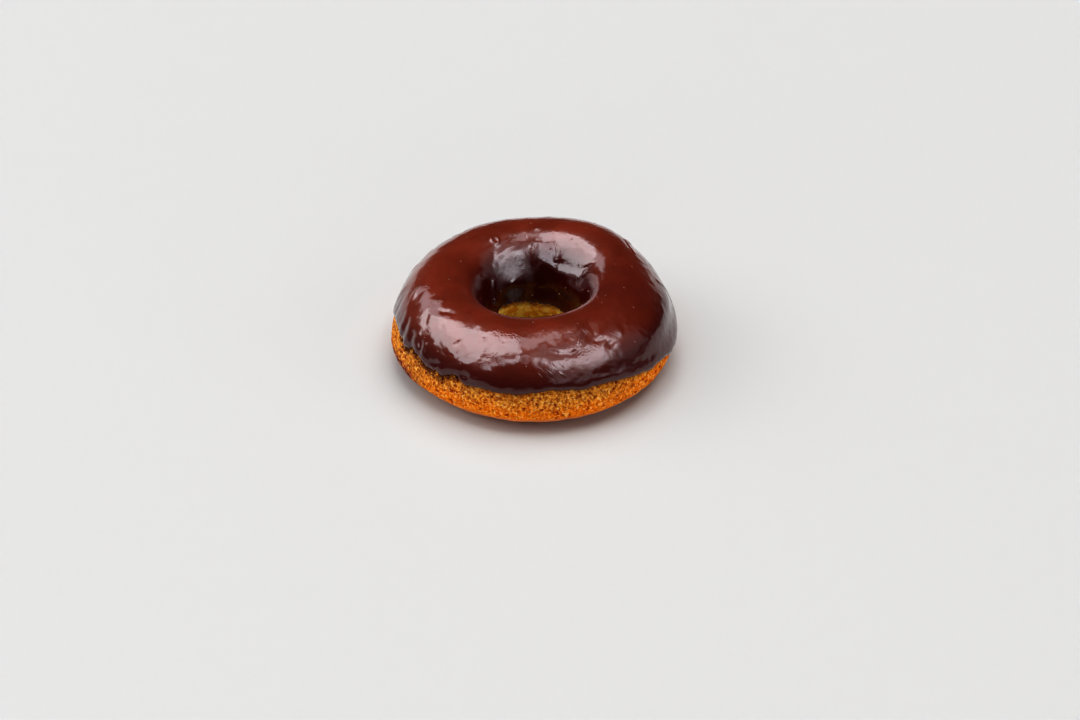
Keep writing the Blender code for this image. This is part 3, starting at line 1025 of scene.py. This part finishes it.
along = add_node(tree, "VectorMath", {0: place, 1: DRAG}, output="Value", operation="DOT_PRODUCT")
along = add_node(tree, "VectorMath", {0: DRAG, "Scale": along}, operation="SCALE")
squashed = add_node(
    tree, "VectorMath", {0: along, 1: (DRAG_SQUASH,) * 3, 2: place}, operation="MULTIPLY_ADD"
)
streaks = add_node(tree, "TexNoise", {"Vector": squashed, "Scale": 1 / (0.8 * MM), "Detail": 0.0})
streaks = add_node(tree, "MapRange", {"Value": streaks, FROM: 0.52, TO: 0.66}, **SMOOTH)
drag_depth = add_node(tree, "MapRange", {"Value": drag_share, FROM: 0.2, TO: 0.9, HIGH: 2.5}, **SMOOTH)
streaks = add_node(tree, "Math", {0: streaks, 1: drag_depth}, operation="MULTIPLY")
print("nodes so far:", len(tree.nodes))

# %% Stipple, grit and drag lines as one relief
stipple_depth = add_node(tree, "MapRange", {"Value": scuff_share, FROM: 0.1, LOW: 0.35}, **SMOOTH)
grit_depth = add_node(tree, "MapRange", {"Value": scuff_share, FROM: 0.2, TO: 0.9, HIGH: 3.0}, **SMOOTH)
grit = add_node(tree, "Math", {0: grit, 1: grit_depth}, operation="MULTIPLY")
depth = add_node(tree, "Math", {0: stipple, 1: stipple_depth, 2: grit}, operation="MULTIPLY_ADD")
depth = add_node(tree, "Math", {0: depth, 1: streaks}, operation="ADD")
relief = add_node(tree, "Bump", {"Height": depth, "Strength": 1.0, "Distance": 0.07 * MM})
tree.links.new(relief, shader.inputs["Normal"])
tree.links.new(relief, shader.inputs["Coat Normal"])
icing.data.materials.append(icing_material)
print("nodes of the icing:", len(tree.nodes))

# %% Put the icing in the frame
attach(icing, "root")
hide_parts("chocolate_icing")
print(icing.name, "stands for chocolate_icing")

# %% [markdown]
# ## Small bubbles in the icing
# Air that rose while the icing set left blisters about half a millimetre wide. Each catches
# the window as a tiny glint. They are low domes, so each is a small sphere sunk most of the way
# into the icing. Those that the photograph shows are listed with their places, and the others are
# strewn over the whole ring with a fixed seed.

# %% Bubbles: azimuth, step, radius in millimetres
NOTED_BUBBLES = (
    (161, 5.3, 0.34), (186, 4.95, 0.32), (217, 4.0, 0.32), (296, 4.25, 0.30), (270, 4.9, 0.30),
    (276, 4.2, 0.30), (320, 2.25, 0.36), (346, 4.5, 0.30), (324, 5.0, 0.30), (333, 3.55, 0.32),
    (55, 8.3, 0.36), (92, 8.6, 0.34), (225, 2.0, 0.30), (238, 1.9, 0.30), (205, 3.4, 0.30),
)
STREWN = 34
BUBBLE_SHOWS = 0.16 * MM

icing_points = read_points(icing)
chance = np.random.default_rng(7)
strewn = [
    (chance.uniform(0, 360), chance.uniform(1.8, 8.0), chance.uniform(0.22, 0.34))
    for _ in range(STREWN)
]
top_points = np.nonzero(is_top)[0]
blisters = []
for azimuth, step, radius in (*NOTED_BUBBLES, *strewn):
    away = np.linalg.norm(icing_base[top_points] - one_place(azimuth, step)[0], axis=1)
    nearest = top_points[away.argmin()]
    centre = icing_points[nearest] - icing_out[nearest] * (radius * MM - BUBBLE_SHOWS)
    select_only()
    bpy.ops.mesh.primitive_uv_sphere_add(
        segments=14, ring_count=9, radius=radius * MM, location=centre
    )
    blisters.append(bpy.context.object)
select_only(*blisters)
bpy.ops.object.join()
bubbles = bpy.context.object
bubbles.name = bubbles.data.name = "icing_bubbles"
bpy.ops.object.transform_apply(location=True, rotation=True, scale=True)
bpy.ops.object.shade_smooth()
bubbles.data.materials.append(icing_material)
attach(bubbles, "root")
print("bubbles:", len(blisters))

# %% [markdown]
# ## Torn crumbs
# Where the icing tore on the left, and at two places in the hole, bits of crumb stick to its
# edge, brown with icing. Each bit is a small sphere made rough, pressed into the edge.

# %% Crumbs: azimuth, step, radius in millimetres
NOTED_CRUMBS = ((48, 9.05, 0.50), (151, 8.7, 0.45), (146, 9.0, 0.40), (57, 9.3, 0.35))
TORN_FROM, TORN_TO, TORN_CRUMBS = 198, 238, 60

torn_azimuths = chance.uniform(TORN_FROM, TORN_TO, TORN_CRUMBS)
torn_steps = step_at_height(torn_azimuths, outer_edge(torn_azimuths), 0.0)
torn_rows = [
    (azimuth, step + chance.uniform(-0.20, 0.03), chance.uniform(0.20, 0.42))
    for azimuth, step in zip(torn_azimuths, torn_steps)
]
bits = []
for azimuth, step, radius in (*NOTED_CRUMBS, *torn_rows):
    place_on_ring, (_, _, outward) = one_place(azimuth, step)
    select_only()
    bpy.ops.mesh.primitive_ico_sphere_add(
        subdivisions=3, radius=radius * MM, location=place_on_ring + outward * 0.5 * MM
    )
    bits.append(bpy.context.object)
select_only(*bits)
bpy.ops.object.join()
crumbs = bpy.context.object
crumbs.name = crumbs.data.name = "torn_crumbs"
bpy.ops.object.transform_apply(location=True, rotation=True, scale=True)
bpy.ops.object.shade_smooth()
weigh(crumbs, "all", np.ones(len(crumbs.data.vertices)))
displace(crumbs, "CLOUDS", 0.5 * MM, 0.35 * MM, "all")
bit_points = read_points(crumbs)
on_outer_edge = np.hypot(bit_points[:, 0], bit_points[:, 1]) > CREST_RADIUS
keep_attribute(crumbs, "stained", 0.9 * on_outer_edge)
keep_attribute(crumbs, "in_the_hole", 1.0 * ~on_outer_edge)
crumbs.data.materials.append(crumb_material)
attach(crumbs, "root")
print("crumbs:", len(bits))
